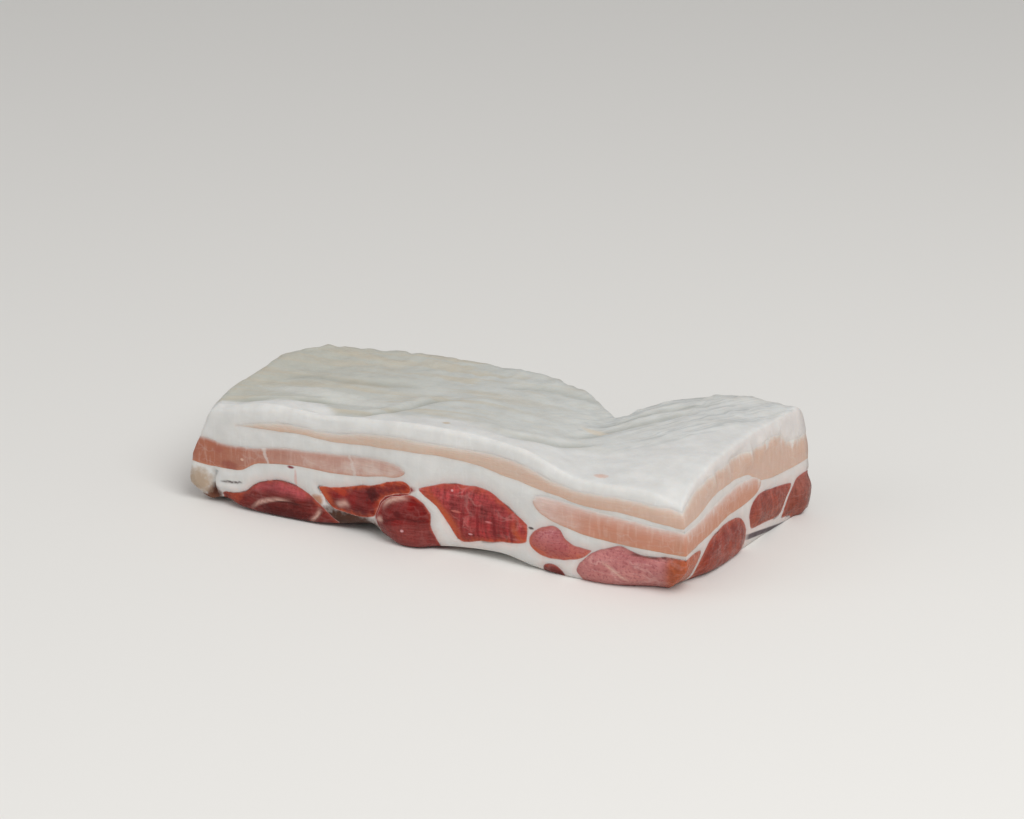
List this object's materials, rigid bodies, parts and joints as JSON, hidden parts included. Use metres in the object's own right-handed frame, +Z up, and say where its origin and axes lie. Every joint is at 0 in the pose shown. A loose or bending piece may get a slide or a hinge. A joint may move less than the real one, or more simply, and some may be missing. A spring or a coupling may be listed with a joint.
{
  "type": "raw pork belly slab",
  "caption": "Raw skinless pork belly slab: layered white fat and pink to red lean, cut square on one long side and one end.",
  "frame": {"origin": "middle of the slab's box, on the surface it rests on", "axes": "+X along the long cut side, +Y towards the rear, +Z up through the layers"},
  "size_m": [0.2538, 0.1222, 0.0554],
  "materials": {
    "fat": "moist off-white pork fat, softly wrinkled on top",
    "upper_lean": "pale pink lean with a soft edge",
    "middle_lean": "pink lean with fine grain across it",
    "rib_lean": "wet red lean with grain and thin marbling"
  },
  "bodies": {
    "root": {"fat": "fat", "upper_lean": "upper_lean", "middle_lean_left": "middle_lean", "middle_lean_right": "middle_lean", "rib_muscle_1": "rib_lean", "rib_muscle_2": "rib_lean", "rib_muscle_3": "rib_lean", "rib_muscle_4": "rib_lean", "rib_muscle_5": "rib_lean", "rib_muscle_6": "rib_lean", "rib_muscle_7": "rib_lean", "rib_muscle_8": "rib_lean", "rib_strip": "rib_lean"}
  },
  "joints": []
}
